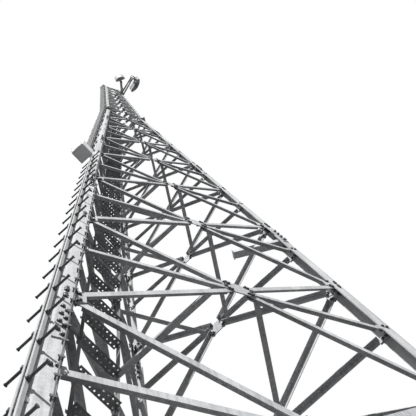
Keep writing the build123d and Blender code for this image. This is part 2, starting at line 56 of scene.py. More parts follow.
# %% The tower's own sizes, in metres
BASE_WIDTH = 4.320
KINK_WIDTH = 1.280
TOP_WIDTH = 0.720
KINK_HEIGHT = 27.300
TOP_HEIGHT = 38.960
FOOT_INSET = 0.095
LEGS = {"a": 210, "b": 330, "d": 90}
SIDES = {"ab": 270, "bd": 30, "da": 150}
UP = np.array([0.0, 0.0, 1.0])


def plan(angle):
    """Unit vector of a plan angle in degrees: its cosine along X and its sine along Y."""
    turn = np.radians(angle)
    return np.array([np.cos(turn), np.sin(turn), 0.0])


AXIS = plan(30) * (BASE_WIDTH / math.sqrt(3) - FOOT_INSET)


def width_at(z):
    """Side width at heights z: two straight tapers that meet at the kink."""
    below = BASE_WIDTH + (KINK_WIDTH - BASE_WIDTH) * z / KINK_HEIGHT
    share = (z - KINK_HEIGHT) / (TOP_HEIGHT - KINK_HEIGHT)
    return np.where(z <= KINK_HEIGHT, below, KINK_WIDTH + (TOP_WIDTH - KINK_WIDTH) * share)


def slope_at(z):
    """How much the side width shrinks for each metre of height."""
    lower = (BASE_WIDTH - KINK_WIDTH) / KINK_HEIGHT
    return np.where(z <= KINK_HEIGHT, lower, (KINK_WIDTH - TOP_WIDTH) / (TOP_HEIGHT - KINK_HEIGHT))


# %% [markdown]
# ## The camera
# The picture looks almost straight up from beside one leg. A camera is a place, a direction and
# a roll, so its matrix is built from the eye, the line of sight and the level line of the image.
# A lens of 69 mm on a 36 mm sensor takes in the whole climb from so near.

# %% Camera
EYE = (0.0015, -1.7320, 1.4224)
SIGHT = np.array([0.2093, 0.1767, 0.9618])
IMAGE_RIGHT = np.array([0.9390, -0.3108, -0.1473])
LENS = 69.23
SENSOR = 36.0

sight = SIGHT / np.linalg.norm(SIGHT)
right = IMAGE_RIGHT - sight * (IMAGE_RIGHT @ sight)
right /= np.linalg.norm(right)
above = np.cross(right, sight)
camera_data = bpy.data.cameras.new("camera")
camera_data.lens = LENS
camera_data.sensor_width = SENSOR
camera_data.clip_end = 500
camera = bpy.data.objects.new("camera", camera_data)
bpy.context.scene.collection.objects.link(camera)
camera.matrix_world = Matrix([
    [right[0], above[0], -sight[0], EYE[0]],
    [right[1], above[1], -sight[1], EYE[1]],
    [right[2], above[2], -sight[2], EYE[2]],
    [0, 0, 0, 1],
])
bpy.context.scene.camera = camera
print("camera climbs", round(math.degrees(math.asin(sight[2])), 1), "degrees")


# %% [markdown]
# ## Nodes and colours
# Colours are written as they are picked on a screen. Blender works in linear light, so one
# function undoes the screen's curve. One more adds a node, sets its values and links its inputs.

# %% Colour and node helpers
def linear(hex_colour):
    """sRGB hex to linear RGBA: c / 12.92 below 0.04045, else ((c + 0.055) / 1.055) ** 2.4."""
    channels = [int(hex_colour[i : i + 2], 16) / 255 for i in (1, 3, 5)]
    return [c / 12.92 if c <= 0.04045 else ((c + 0.055) / 1.055) ** 2.4 for c in channels] + [1.0]


def add(tree, kind, settings=None, **inputs):
    """Add a node of a kind, set its properties, and fill or link each named input."""
    node = tree.nodes.new(kind)
    for name, value in (settings or {}).items():
        setattr(node, name, value)
    for name, value in inputs.items():
        key = int(name[1:]) if name[0] == "_" and name[1:].isdigit() else name.replace("_", " ")
        socket = node.inputs[key]
        if isinstance(value, bpy.types.NodeSocket):
            tree.links.new(value, socket)
        else:
            socket.default_value = value
    return node


def ramp(tree, factor, stops):
    """A colour ramp through (place, hex colour) stops."""
    node = add(tree, "ShaderNodeValToRGB", Fac=factor)
    elements = node.color_ramp.elements
    while len(elements) < len(stops):
        elements.new(0.5)
    for element, (place, colour) in zip(elements, stops):
        element.position = place
        element.color = linear(colour)
    return node.outputs["Color"]


# %% [markdown]
# ## Light
# Open daylight: the sun stands high in front and to the left, so the rungs throw long shadows
# down the leg's pale face, and a weak glow from above leaves the undersides dark grey. To the
# camera alone the sky is plain white.

# %% World and sun
SKY_LIGHT = 0.54
LOW_LIGHT = 0.12
SUN_STRENGTH = 6.0
SUN_FROM = np.array([-0.35, -0.48, 0.80])
SUN_SPREAD = 1.5

world = bpy.data.worlds.new("plain sky")
bpy.context.scene.world = world
world.use_nodes = True
world.node_tree.nodes.clear()
paths = add(world.node_tree, "ShaderNodeLightPath")
seen = add(world.node_tree, "ShaderNodeMath", {"operation": "MAXIMUM"},
           _0=paths.outputs["Is Camera Ray"], _1=paths.outputs["Is Transmission Ray"])
height = add(world.node_tree, "ShaderNodeSeparateXYZ",
             Vector=add(world.node_tree, "ShaderNodeTexCoord").outputs["Generated"]).outputs["Z"]
above_horizon = add(world.node_tree, "ShaderNodeMapRange", Value=height, From_Min=-0.1, From_Max=0.5,
                    To_Min=LOW_LIGHT, To_Max=SKY_LIGHT).outputs[0]
glow = add(world.node_tree, "ShaderNodeBackground", Color=linear("#FFFFFF"), Strength=above_horizon)
plain = add(world.node_tree, "ShaderNodeBackground", Color=linear("#FFFFFF"), Strength=1.0)
mix = add(world.node_tree, "ShaderNodeMixShader",
          Fac=seen.outputs[0], _1=glow.outputs[0], _2=plain.outputs[0])
add(world.node_tree, "ShaderNodeOutputWorld", Surface=mix.outputs[0])

sun_data = bpy.data.lights.new("sun", "SUN")
sun_data.energy = SUN_STRENGTH
sun_data.angle = math.radians(SUN_SPREAD)
sun = bpy.data.objects.new("sun", sun_data)
bpy.context.scene.collection.objects.link(sun)
toward_sun = SUN_FROM / np.linalg.norm(SUN_FROM)
side_way = np.cross(UP, toward_sun)
side_way /= np.linalg.norm(side_way)
over = np.cross(toward_sun, side_way)
sun.matrix_world = Matrix([[side_way[i], over[i], toward_sun[i], 0] for i in range(3)] + [[0, 0, 0, 1]])
bpy.context.scene.view_settings.view_transform = "Standard"


# %% [markdown]
# ## Surfaces from arrays
# Every new piece is a set of points and a set of faces worked out as whole arrays. This helper
# puts them into a mesh in one go, makes it ride with the tower, and names its finish.

# %% Mesh helper
def make_piece(name, points, faces, material, smooth=False):
    """Mesh from an (n, 3) array of points and a list of (m, k) arrays of corner indices."""
    mesh = bpy.data.meshes.new(name)
    points = np.asarray(points, float).reshape(-1, 3)
    mesh.vertices.add(len(points))
    mesh.vertices.foreach_set("co", points.ravel())
    corners = np.concatenate([face.ravel() for face in faces])
    totals = np.concatenate([np.full(len(face), face.shape[1]) for face in faces])
    mesh.loops.add(len(corners))
    mesh.loops.foreach_set("vertex_index", corners)
    mesh.polygons.add(len(totals))
    mesh.polygons.foreach_set("loop_start", np.concatenate([[0], np.cumsum(totals)[:-1]]))
    mesh.polygons.foreach_set("loop_total", totals)
    mesh.polygons.foreach_set("use_smooth", np.full(len(totals), smooth))
    mesh.update(calc_edges=True)
    mesh.validate()
    mesh.materials.append(material)
    piece = bpy.data.objects.new(name, mesh)
    bpy.context.scene.collection.objects.link(piece)
    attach(piece, "root")
    print(name, len(points), "points,", len(totals), "faces")
    return piece


# %% [markdown]
# ## Hot-dip galvanised steel
# The angles are dipped in molten zinc. New zinc freezes in leafy crystals, and years outdoors
# turn it into a pale, dull grey with darker runs where water drains. The crystals are drawn
# about 25 mm across and faint, and the cloudy wear about half a metre long. Old zinc is mostly
# chalky crust with a little bare metal, so it is rough and hardly shines.

# %% Galvanised steel
CRYSTAL_SHARE, RUN_SHARE, BARE_METAL = 0.8, 0.35, 0.06


def galvanised(name, fresh, worn, grime, roughness):
    """Zinc coat: cells of tone for its crystals, long clouds for wear, and fine bump for grit."""
    material = bpy.data.materials.new(name)
    material.use_nodes = True
    tree = material.node_tree
    tree.nodes.clear()
    place = add(tree, "ShaderNodeTexCoord").outputs["Object"]
    stretched = add(tree, "ShaderNodeMapping", Vector=place, Scale=(2.0, 2.0, 0.35)).outputs[0]
    clouds = add(tree, "ShaderNodeTexNoise", Vector=stretched, Scale=1.6, Detail=6.0, Roughness=0.62)
    crystals = add(tree, "ShaderNodeTexVoronoi", Vector=place, Scale=40.0, Randomness=1.0)
    streaks = add(tree, "ShaderNodeMapping", Vector=place, Scale=(38.0, 38.0, 1.4)).outputs[0]
    runs = add(tree, "ShaderNodeTexNoise", Vector=streaks, Scale=1.0, Detail=4.0)
    base = ramp(tree, clouds.outputs["Fac"], [(0.30, worn), (0.68, fresh)])
    crystal_tone = ramp(tree, crystals.outputs["Color"], [(0.0, "#E2E2E2"), (1.0, "#FFFFFF")])
    run_tone = ramp(tree, runs.outputs["Fac"], [(0.28, grime), (0.52, "#FFFFFF")])
    toned = add(tree, "ShaderNodeMix", {"data_type": "RGBA", "blend_type": "MULTIPLY"},
                _0=CRYSTAL_SHARE, _6=base, _7=crystal_tone).outputs[2]
    dirty = add(tree, "ShaderNodeMix", {"data_type": "RGBA", "blend_type": "MULTIPLY"},
                _0=RUN_SHARE, _6=toned, _7=run_tone).outputs[2]
    dull = add(tree, "ShaderNodeMapRange", Value=clouds.outputs["Fac"],
               To_Min=roughness + 0.12, To_Max=roughness - 0.08).outputs[0]
    grit = add(tree, "ShaderNodeTexNoise", Vector=place, Scale=220.0, Detail=3.0)
    bump = add(tree, "ShaderNodeBump", Height=grit.outputs["Fac"], Strength=0.10, Distance=0.002)
    shader = add(tree, "ShaderNodeBsdfPrincipled", Base_Color=dirty, Metallic=BARE_METAL, Roughness=dull,
                 Specular_IOR_Level=0.25, Normal=bump.outputs[0])
    add(tree, "ShaderNodeOutputMaterial", Surface=shader.outputs[0])
    return material


leg_zinc = galvanised("galvanised leg steel", "#D9DADB", "#B9BBBC", "#8E8F8F", 0.82)
bracing_zinc = galvanised("galvanised bracing steel", "#CFD0D2", "#A7A9AB", "#858688", 0.70)
plate_zinc = galvanised("galvanised plate steel", "#D2D3D4", "#ADAFB0", "#8A8B8C", 0.50)
rail_zinc = galvanised("galvanised rail steel", "#D6D7D8", "#B4B6B7", "#8E8F90", 0.50)
# The rungs' zinc is toned far darker than the rail's: painted shade, standing in for the shade the rungs
# hang in.
shade_darkened_rung_zinc = galvanised("rung steel darkened as painted shade", "#7A7B7D", "#58595B", "#4A4A4B", 0.45)
bolt_zinc = galvanised("galvanised bolts", "#77787A", "#56575A", "#4A4B4C", 0.45)
ladder_zinc = galvanised("galvanised ladder steel", "#8F9092", "#6A6B6D", "#5A5A5B", 0.55)


# %% [markdown]
# ## Painted boxes, cable jackets and antenna shells
# The boxes are powder-coated sheet, faded a little in the sun. Cable jackets are grey
# polyethylene, and the seals where they enter a box are black rubber. The antenna shells are
# moulded fibreglass that has gone chalky.

# %% Other finishes
def weathered(name, light, dark, roughness, scale, bump_depth):
    """Non-metal coat: two tones mixed by a broad noise, with a fine bump."""
    material = bpy.data.materials.new(name)
    material.use_nodes = True
    tree = material.node_tree
    tree.nodes.clear()
    place = add(tree, "ShaderNodeTexCoord").outputs["Object"]
    tall = add(tree, "ShaderNodeMapping", Vector=place, Scale=(1.0, 1.0, 0.3)).outputs[0]
    fade = add(tree, "ShaderNodeTexNoise", Vector=tall, Scale=scale, Detail=5.0, Roughness=0.6)
    tone = ramp(tree, fade.outputs["Fac"], [(0.35, dark), (0.65, light)])
    grain = add(tree, "ShaderNodeTexNoise", Vector=place, Scale=400.0, Detail=2.0)
    bump = add(tree, "ShaderNodeBump", Height=grain.outputs["Fac"], Strength=0.15, Distance=bump_depth)
    shader = add(tree, "ShaderNodeBsdfPrincipled", Base_Color=tone, Roughness=roughness,
                 Specular_IOR_Level=0.12, Normal=bump.outputs[0])
    add(tree, "ShaderNodeOutputMaterial", Surface=shader.outputs[0])
    return material


cabinet_coat = weathered("powder-coated sheet", "#F0F1F2", "#E2E4E5", 0.5, 3.0, 0.0005)
jacket = weathered("polyethylene cable jacket", "#4A4B4D", "#3B3C3E", 0.6, 6.0, 0.0004)
cap_plastic = weathered("moulded end caps", "#C8CACC", "#B8BABC", 0.5, 3.0, 0.0004)
rubber = weathered("sealing rubber", "#2E2E2F", "#232324", 0.7, 8.0, 0.0003)
shell = weathered("fibreglass antenna shell", "#B4B6B8", "#A2A4A6", 0.6, 2.5, 0.0008)

FINISHES = {
    "leg_steel": leg_zinc,
    "bracing_steel": bracing_zinc,
    "plate_steel": plate_zinc,
    "rail_steel": rail_zinc,
    "rung_steel": shade_darkened_rung_zinc,
    "cabinet_paint": cabinet_coat,
    "cable_jacket": jacket,
    "antenna_shell": shell,
}
slot_of = {part["node"]: part["material_slot"] for part in frame["record"]["subparts"]}
for node, part in frame["nodes"].items():
    for number in range(len(part.data.materials)):
        part.data.materials[number] = FINISHES[slot_of[node]]
    if not part.data.materials:
        part.data.materials.append(FINISHES[slot_of[node]])

# %% [markdown]
# ## Where things are on a side
# Each side of the tower is a flat plane that leans inward. A point on it is given by its distance
# to the right of the middle, its row up the side, and its depth behind the legs' outer face. The
# same sizes as the solids' give each joint, and the crossing of two diagonals lies where the
# widths at their ends balance: low + (high - low) * lower / (lower + upper). Bolts are spaced in
# shares of a bar's width, and the ones through a flange in shares of the flange.

# %% Sides, zones and joints
PANEL = 2.900
KINK_GAP = 0.190
HEAD_PANEL = 1.420
GAUGE = 0.6
PLATE_BOLTS, FALLING_BOLTS = (1.72,), (1.72, 2.14)
PAIR_SHIFT, LEG_END = 0.2, 0.27
CROSSBAR_INSETS = (0.62, 0.88)
GUSSET_LIFTS = (-1.2, -0.6, 0.6, 1.2)

tower_levels = KINK_HEIGHT - PANEL * np.arange(7, -1, -1)
tower_levels[-1] -= KINK_GAP
head_levels = KINK_HEIGHT + KINK_GAP + HEAD_PANEL * np.arange(9)
ZONE_KEYS = ("levels", "flange", "bar", "wall", "leg", "plate")
ZONE_ROWS = {
    "base": (np.array([0.4, 4.1, 7.0]), 0.180, 0.085, 0.008, 0.014, 0.010),
    "lower": (tower_levels[:3], 0.180, 0.076, 0.007, 0.014, 0.010),
    "upper": (tower_levels[2:], 0.150, 0.065, 0.006, 0.014, 0.010),
    "head": (head_levels, 0.110, 0.052, 0.005, 0.009, 0.006),
}
ZONES = {name: dict(zip(ZONE_KEYS, row)) for name, row in ZONE_ROWS.items()}


Side = namedtuple("Side", "origin right up out start")


def side_frame(angle, zone):
    """A side within a zone: its origin, unit vectors right, up and out, and the height it starts at."""
    start = zone["levels"][0] if zone is ZONES["head"] else 0.0
    lean = float(slope_at(start + 0.001)) / (2 * math.sqrt(3))
    upward = UP - plan(angle) * lean
    upward /= np.linalg.norm(upward)
    rightward = plan(angle + 90)
    origin = AXIS + plan(angle) * float(width_at(start + 0.001)) / (2 * math.sqrt(3)) + UP * start
    return Side(origin, rightward, upward, np.cross(rightward, upward), start)


def half_at(row, side, inset=0.0):
    """Half of a side's width at a row, less an inset."""
    return width_at(side.start + row * side.up[2]) / 2 - inset


def on_side(side, across, row, depth):
    """Points in space from distances across and up a side, and depths behind its face."""
    across, row, depth = np.broadcast_arrays(across, row, depth)
    return (side.origin + across[:, None] * side.right + row[:, None] * side.up
            - depth[:, None] * side.out)


def on_leg(leg, z, inward=0.0, aside=0.0):
    """Points near a leg's outer corner: inward is toward the axis, aside turns to the leg's left."""
    z, inward, aside = np.broadcast_arrays(*[np.asarray(value, float) for value in (z, inward, aside)])
    reach = width_at(z) / math.sqrt(3) - inward
    points = AXIS + reach[..., None] * plan(LEGS[leg]) + aside[..., None] * plan(LEGS[leg] - 90)
    points[..., 2] = z
    return points


def leg_axes(leg):
    """Axes at a leg: inward, to the leg's left, and up."""
    return np.stack([plan(LEGS[leg] + 180), plan(LEGS[leg] - 90), UP])


# %% [markdown]
# ## Small shapes and their copies
# A nut is a ring of corners swept between two heights, so one function makes any straight prism,
# and another sets copies of a shape on many places at once: points = place + shape @ axes.

# %% Prisms and copies
def prism(sides, radius, low, high, top_radius=None, turn=0.0):
    """Upright prism or cone stub about the z axis, as points and a list of face arrays."""
    angle = turn + np.arange(sides) * 2 * np.pi / sides
    ring = np.column_stack([np.cos(angle), np.sin(angle)])
    points = np.vstack([
        np.column_stack([ring * radius, np.full(sides, low)]),
        np.column_stack([ring * (radius if top_radius is None else top_radius), np.full(sides, high)]),
    ])
    here = np.arange(sides)
    after = (here + 1) % sides
    walls = np.column_stack([here, after, after + sides, here + sides])
    return points, [walls, here[::-1][None, :], (here + sides)[None, :]]


def block(size, middle=(0.0, 0.0, 0.0)):
    """Box of a size about a middle point."""
    corner = np.array([[x, y, z] for z in (-1, 1) for x, y in ((-1, -1), (1, -1), (1, 1), (-1, 1))], float)
    points = corner * np.array(size) / 2 + np.array(middle)
    here = np.arange(4)
    after = (here + 1) % 4
    walls = np.column_stack([here, after, after + 4, here + 4])
    return points, [walls, here[::-1][None, :], (here + 4)[None, :]]


def joined(*shapes):
    """Several shapes as one."""
    points, faces, count = [], [], 0
    for shape_points, shape_faces in shapes:
        points.append(shape_points)
        faces += [face + count for face in shape_faces]
        count += len(shape_points)
    return np.vstack(points), faces


def copies(shape, places, axes):
    """The shape at each place, with its x, y and z axes as the three rows of each axes matrix."""
    points, faces = shape
    places = np.asarray(places, float).reshape(-1, 3)
    axes = np.broadcast_to(np.asarray(axes, float), (len(places), 3, 3))
    moved = places[:, None, :] + np.einsum("pk,nkj->npj", points, axes)
    steps = np.arange(len(places)) * len(points)
    moved_faces = [(face[None] + steps[:, None, None]).reshape(-1, face.shape[1]) for face in faces]
    return moved.reshape(-1, 3), moved_faces


def swept(path, sides, radius):
    """Round tube along a path of points, with rings square to the path and closed ends."""
    path = np.asarray(path, float)
    along = np.gradient(path, axis=0)
    along /= np.linalg.norm(along, axis=1)[:, None]
    first = np.cross(along, [0.31, -0.83, 0.46])
    first /= np.linalg.norm(first, axis=1)[:, None]
    second = np.cross(along, first)
    angle = np.arange(sides) * 2 * np.pi / sides
    ring = np.cos(angle)[None, :, None] * first[:, None] + np.sin(angle)[None, :, None] * second[:, None]
    points = (path[:, None] + radius * ring).reshape(-1, 3)
    step = np.arange(len(path) - 1)[:, None] * sides
    here = np.arange(sides)[None]
    after = (here + 1) % sides
    walls = np.stack([step + here, step + after, step + after + sides, step + here + sides], -1)
    last = (len(path) - 1) * sides
    ends = np.arange(sides)[None, :]
    return points, [walls.reshape(-1, 4), ends[:, ::-1], ends + last]


# %% [markdown]
# ## Bolts
# Every joint is bolted from outside: a washer and a hexagon head on the outer face, and a nut and
# a stub of thread behind. The grip is whatever steel lies between. Heads in a real joint end up
# at all angles, so each bolt is turned by its own amount.

# %% Bolts on the sides
def bolt(radius, grip):
    """Washer and head above z = 0, nut and thread end below the grip; radius is across corners."""
    return joined(
        prism(10, radius * 1.18, 0.0, radius * 0.2),
        prism(6, radius, radius * 0.2, radius * 0.85),
        prism(6, radius * 0.92, radius * 0.85, radius * 0.98, radius * 0.62),
        prism(6, radius, -grip - radius * 0.9, -grip),
        prism(8, radius * 0.52, -grip - radius * 1.45, -grip - radius * 0.9),
    )


def turned(side, count, seed):
    """Axes for bolts on a side: z points outward, and each bolt is turned at random."""
    angle = np.random.default_rng(seed).uniform(0, 2 * np.pi, count)
    cos, sin = np.cos(angle)[:, None], np.sin(angle)[:, None]
    first = cos * side.right + sin * side.up
    second = -sin * side.right + cos * side.up
    return np.stack([first, second, np.broadcast_to(side.out, (count, 3))], 1)


def side_bolts(zone, side):
    """Across, row, depth and grip of every bolt of a side within a zone."""
    bar, flange, leg, plate, wall = (zone[key] for key in ("bar", "flange", "leg", "plate", "wall"))
    rows = (zone["levels"] - side.start) / side.up[2]
    found = []
    for low, high in zip(rows, rows[1:]):
        lower, upper = half_at(low, side, GAUGE * flange), half_at(high, side, GAUGE * flange)
        middle = low + (high - low) * lower / (lower + upper)
        for sign in (-1, 1):
            for end in (low, middle, high):
                joint = np.array([sign * half_at(end, side, GAUGE * flange), end])
                ray = joint - np.array([0.0, middle])
                ray /= np.linalg.norm(ray)
                normal = np.array([-ray[1], ray[0]])
                falling = ray[0] * ray[1] < -1e-6
                for reach in FALLING_BOLTS if falling else PLATE_BOLTS:
                    for shift in (-PAIR_SHIFT, PAIR_SHIFT):
                        spot = np.array([0.0, middle]) + ray * reach * bar + normal * shift * bar
                        found.append((spot[0], spot[1], leg, plate + wall))
                if end == middle:
                    for inset in CROSSBAR_INSETS:
                        across = sign * half_at(end, side, inset * flange)
                        found.append((across, end, 0.0, leg + plate + wall))
                else:
                    spot = joint - ray * ((1 - GAUGE) * flange + LEG_END * bar) / abs(ray[0])
                    for shift in (-PAIR_SHIFT, PAIR_SHIFT):
                        place = spot + normal * shift * bar
                        found.append((place[0], place[1], leg, plate + wall))
    for row in rows:
        for lift in GUSSET_LIFTS:
            for sign in (-1, 1):
                across = sign * half_at(row + lift * bar, side, GAUGE * flange)
                found.append((across, row + lift * bar, 0.0, leg + plate))
    return np.array(found, float)


BOLT_RADIUS = {"base": 0.0175, "lower": 0.0175, "upper": 0.0150, "head": 0.0115}
for zone_name, zone in ZONES.items():
    shapes = []
    for number, angle in enumerate(SIDES.values()):
        side = side_frame(angle, zone)
        found = side_bolts(zone, side)
        for grip in np.unique(found[:, 3]):
            chosen = found[found[:, 3] == grip]
            places = on_side(side, chosen[:, 0], chosen[:, 1], chosen[:, 2])
            one = bolt(BOLT_RADIUS[zone_name], grip)
            shapes.append(copies(one, places, turned(side, len(chosen), number)))
    points, faces = joined(*shapes)
    make_piece(f"bolts_{zone_name}", points, faces, bolt_zinc)

# %% [markdown]
# The legs come in lengths, and outside each joint between two of them a cover plate carries two
# staggered rows of bolts. The foot of each leg stands on four anchor bolts, each with a thick
# washer and two nuts.

# %% Splice bolts and anchor bolts
SPLICES = {"lower": [6.360], "upper": [12.160, 17.960, 23.760]}
COVER = 0.010
SPLICE_ROWS = np.linspace(-0.27, 0.27, 8)
SPLICE_GRIP = 0.024
NEAR_ROW, FAR_ROW = 0.60, 0.80
shapes = []
for zone_name, heights in SPLICES.items():
    zone = ZONES[zone_name]
    for number, angle in enumerate(SIDES.values()):
        side = side_frame(angle, zone)
        for z in heights:
            row = np.repeat(z / side.up[2] + SPLICE_ROWS, 2)
            sign = np.tile([-1.0, 1.0], len(SPLICE_ROWS))
            stagger = np.where(np.arange(len(SPLICE_ROWS)) % 2, NEAR_ROW, FAR_ROW)
            inset = np.repeat(stagger, 2) * zone["flange"]
            places = on_side(side, sign * half_at(row, side, inset), row, -COVER)
            through = bolt(BOLT_RADIUS["lower"], SPLICE_GRIP)
            shapes.append(copies(through, places, turned(side, len(places), number + 7)))
points, faces = joined(*shapes)
make_piece("splice_bolts", points, faces, bolt_zinc)

ANCHOR_CIRCLE = 0.440
PLATE_TOP = 0.030
anchor = joined(
    prism(16, 0.036, 0.0, 0.008),
    prism(6, 0.032, 0.008, 0.036),
    prism(6, 0.032, 0.038, 0.062, turn=0.4),
    prism(12, 0.016, 0.0, 0.112),
    prism(12, 0.016, 0.112, 0.117, 0.011),
)
places = []
for angle in LEGS.values():
    foot = AXIS + plan(angle) * (BASE_WIDTH / math.sqrt(3) - FOOT_INSET) + UP * PLATE_TOP
    places += [foot + plan(angle + 180 + 45 + quarter * 90) * ANCHOR_CIRCLE / 2 for quarter in range(4)]
points, faces = copies(anchor, places, np.eye(3))
make_piece("anchor_bolts", points, faces, bolt_zinc)

# %% [markdown]
# ## Climbing rail and rungs
# The rail is a channel whose edges turn in again and leave a slot for a climber's runner. The
# rungs are round bars with a stop at the tip. Each is held by a washer and a nut against the
# channel's wall, and they stand to the left and to the right in turn.

# %% Rail with a slot, and round rungs
RAIL_LOW, RAIL_HIGH = 2.500, 14.800
RAIL_BACK = 0.01809
RAIL_DEPTH, RAIL_HALF, RAIL_WALL = 0.026, 0.032, 0.005
RAIL_SLOT, RAIL_LIP = 0.012, 0.004
BLOCK_HALF, BLOCK_TALL, BLOCK_PITCH = 0.025, 0.050, 1.270
WIDE_HEEL, NARROW_HEEL = 0.02609, 0.02174
STEP_DOWN = SPLICES["upper"][0]
outline = np.array([
    (0.0, -RAIL_HALF), (RAIL_DEPTH, -RAIL_HALF),
    (RAIL_DEPTH, -RAIL_SLOT), (RAIL_DEPTH - RAIL_LIP, -RAIL_SLOT),
    (RAIL_DEPTH - RAIL_LIP, -RAIL_HALF + RAIL_LIP), (RAIL_WALL, -RAIL_HALF + RAIL_LIP),
])
outline = np.vstack([outline, outline[::-1] * [1, -1]])


def heel_at(z):
    """How far in from the corner a leg's bent heel lies: the leg gets narrower at STEP_DOWN."""
    return WIDE_HEEL if z < STEP_DOWN else NARROW_HEEL


levels = np.array([RAIL_LOW, RAIL_HIGH])
rail_points = on_leg("a", levels[:, None], RAIL_BACK - outline[None, :, 0], outline[None, :, 1])
rail_points = rail_points.reshape(-1, 3)
count = len(outline)
here = np.arange(count)
after = (here + 1) % count
walls = np.column_stack([here, here + count, after + count, after])
caps = np.array([[0, 1, 4, 5], [1, 2, 3, 4], [11, 10, 7, 6], [10, 9, 8, 7], [0, 5, 6, 11]])
shapes = [(rail_points, [walls, caps, caps[:, ::-1] + count])]
block_count = int((RAIL_HIGH - RAIL_LOW - 2 * BLOCK_TALL) / BLOCK_PITCH) + 1
blocks = RAIL_LOW + BLOCK_TALL + BLOCK_PITCH * np.arange(block_count)
leg_frame = leg_axes("a")
screw = joined(prism(10, 0.012, 0, 0.003), prism(6, 0.010, 0.003, 0.009))
screw_axes = np.roll(leg_frame, 2, 0) * [[1], [1], [-1]]
for z in blocks:
    heel = heel_at(z)
    ring = np.array([(RAIL_BACK, -BLOCK_HALF), (RAIL_BACK, BLOCK_HALF), (heel + BLOCK_HALF, BLOCK_HALF),
                     (heel, 0.0), (heel + BLOCK_HALF, -BLOCK_HALF)])
    both = on_leg("a", np.array([z, z + BLOCK_TALL])[:, None], ring[None, :, 0], ring[None, :, 1])
    side_walls = np.array([[k, (k + 1) % 5, (k + 1) % 5 + 5, k + 5] for k in range(5)])
    ends = np.array([[0, 1, 2, 3, 4], [9, 8, 7, 6, 5]])
    shapes.append((both.reshape(-1, 3), [side_walls, ends]))
    shapes.append(copies(screw, on_leg("a", z + BLOCK_TALL / 2, RAIL_BACK - RAIL_WALL), screw_axes))
points, faces = joined(*shapes)
rail = make_piece("slotted_rail", points, faces, rail_zinc)
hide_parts("climbing_rail")

RUNG_LENGTH, RUNG_RADIUS = 0.150, 0.0100
RUNG_PITCH, RUNG_MARGIN = 0.270, 0.090
STOP_RADIUS, STOP_START, STOP_EDGE = 0.0135, RUNG_LENGTH - 0.008, RUNG_LENGTH - 0.001
rung_count = int((RAIL_HIGH - RAIL_LOW - 2 * RUNG_MARGIN) / RUNG_PITCH) + 1
rung_heights = RAIL_LOW + RUNG_MARGIN + RUNG_PITCH * np.arange(rung_count)
rung = joined(
    prism(12, RUNG_RADIUS, -0.016, STOP_START),
    prism(12, STOP_RADIUS, STOP_START, STOP_EDGE),
    prism(12, STOP_RADIUS, STOP_EDGE, RUNG_LENGTH, 0.0115),
    prism(6, 0.0185, 0.004, 0.020),
    prism(12, 0.0210, 0.0, 0.004),
)
signs = np.where(np.arange(rung_count) % 2, 1.0, -1.0)
out_of_corner = RAIL_BACK - (RAIL_DEPTH + RAIL_WALL) / 2
places = on_leg("a", rung_heights, out_of_corner, signs * RAIL_HALF)
axes = np.stack([np.array([UP, np.cross(sign * leg_frame[1], UP), sign * leg_frame[1]]) for sign in signs])
points, faces = copies(rung, places, axes)
# The rungs take the darkened zinc, so their dark tone is painted shade.
rungs = make_piece("round_rungs", points, faces, shade_darkened_rung_zinc)
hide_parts("climbing_rungs")

# %% [markdown]
# ## Perforated cable ladder
# Cables are tied to wide cross members with two rows of round holes. One member is a strip of
# square cells with a hole in each: eight points on the cell's edge are joined to eight points on
# the hole, above and below, and the hole's wall joins the two.

# %% Cable ladder
LADDER_NEAR, LADDER_FAR = 0.325, 0.700
LADDER_LOW, LADDER_TOP = 0.900, 22.600
LADDER_PITCH, LADDER_WALL = 0.540, 0.005
MEMBER_HALF, STRINGER_HALF, MEMBER_LIP = 0.0425, 0.018, 0.045
LIP_WALL, LIP_SETBACK = 0.0015, 0.0008
CELLS, HOLE = 9, 0.0072
ARM_EVERY, ARM_CLEARANCE = 5, 0.014
ARM_WIDE, ARM_TALL = 0.010, 0.045
cell_x = np.linspace(LADDER_NEAR + LADDER_WALL, LADDER_FAR - LADDER_WALL, CELLS + 1)
angle = np.arange(8) * np.pi / 4
square = np.array([(1, 0), (1, 1), (0, 1), (-1, 1), (-1, 0), (-1, -1), (0, -1), (1, -1)], float)
parts = []
for left, right_end in zip(cell_x, cell_x[1:]):
    for low_y, high_y in ((-MEMBER_HALF, 0.0), (0.0, MEMBER_HALF)):
        middle = np.array([(left + right_end) / 2, (low_y + high_y) / 2])
        outer = middle + square * [(right_end - left) / 2, (high_y - low_y) / 2]
        inner = middle + np.column_stack([np.cos(angle), np.sin(angle)]) * HOLE
        flat = np.vstack([outer, inner])
        both = np.vstack([np.column_stack([flat, np.full(16, z)]) for z in (0.0, LADDER_WALL)])
        k = np.arange(8)
        n = (k + 1) % 8
        parts.append((both, [np.column_stack([k, k + 8, n + 8, n]),
                             np.column_stack([k + 16, n + 16, n + 24, k + 24]),
                             np.column_stack([k + 8, k + 24, n + 24, n + 8])]))
length = LADDER_FAR - LADDER_NEAR - 2 * LADDER_WALL
centre = (LADDER_NEAR + LADDER_FAR) / 2
for edge in (-1, 1):
    lip = MEMBER_LIP if edge > 0 else LADDER_WALL
    parts.append(block((length, LIP_WALL, lip), (centre, edge * (MEMBER_HALF - LIP_SETBACK), lip / 2)))
member = joined(*parts)
member_count = int((LADDER_TOP - LADDER_LOW - LADDER_PITCH) / LADDER_PITCH) + 1
member_z = LADDER_LOW + LADDER_PITCH / 2 + LADDER_PITCH * np.arange(member_count)
shapes = [copies(member, on_leg("a", member_z), leg_frame)]
